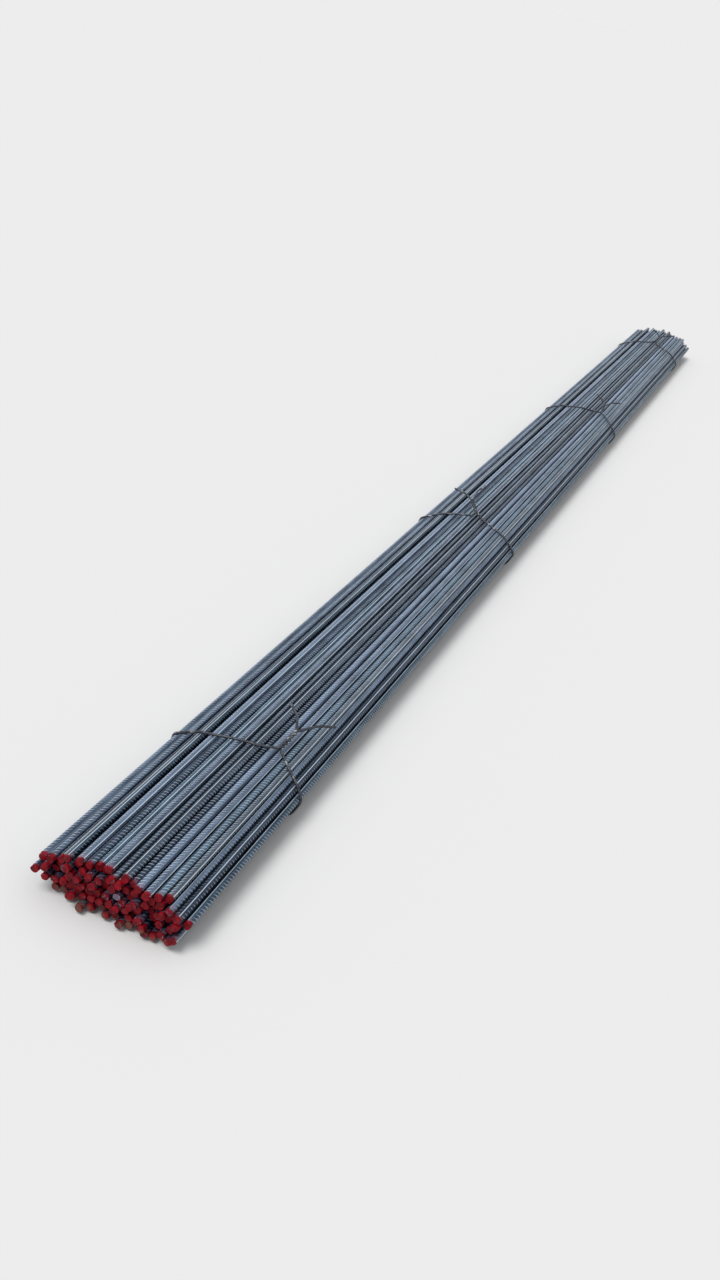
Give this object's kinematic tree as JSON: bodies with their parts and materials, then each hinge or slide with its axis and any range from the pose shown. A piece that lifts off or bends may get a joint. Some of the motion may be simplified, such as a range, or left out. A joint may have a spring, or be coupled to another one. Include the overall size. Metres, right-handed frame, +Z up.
{
  "type": "rebar bundle",
  "caption": "Bundle of straight ribbed steel reinforcing bars with painted ends, pulled together by twisted wire ties and lying on its side.",
  "frame": {"origin": "on the floor, under the middle of the bundle", "axes": "+X along the bars, +Y across the bundle, +Z up"},
  "size_m": [6.0302, 0.3307, 0.1832],
  "materials": {
    "bar_steel": "hot-rolled ribbed steel with dark blue-grey mill scale, both cut ends dipped in crimson paint",
    "tie_wire": "plain hot-rolled wire, dark grey scale, rubbed bright on its bends"
  },
  "bodies": {
    "root": {"bars_layer_1": "bar_steel", "bars_layer_2": "bar_steel", "bars_layer_3": "bar_steel", "bars_layer_4": "bar_steel", "bars_layer_5": "bar_steel", "bars_layer_6": "bar_steel", "bars_layer_7": "bar_steel", "bars_layer_8": "bar_steel", "tie_wire_1": "tie_wire", "tie_wire_2": "tie_wire", "tie_wire_3": "tie_wire", "tie_wire_4": "tie_wire"}
  },
  "joints": []
}
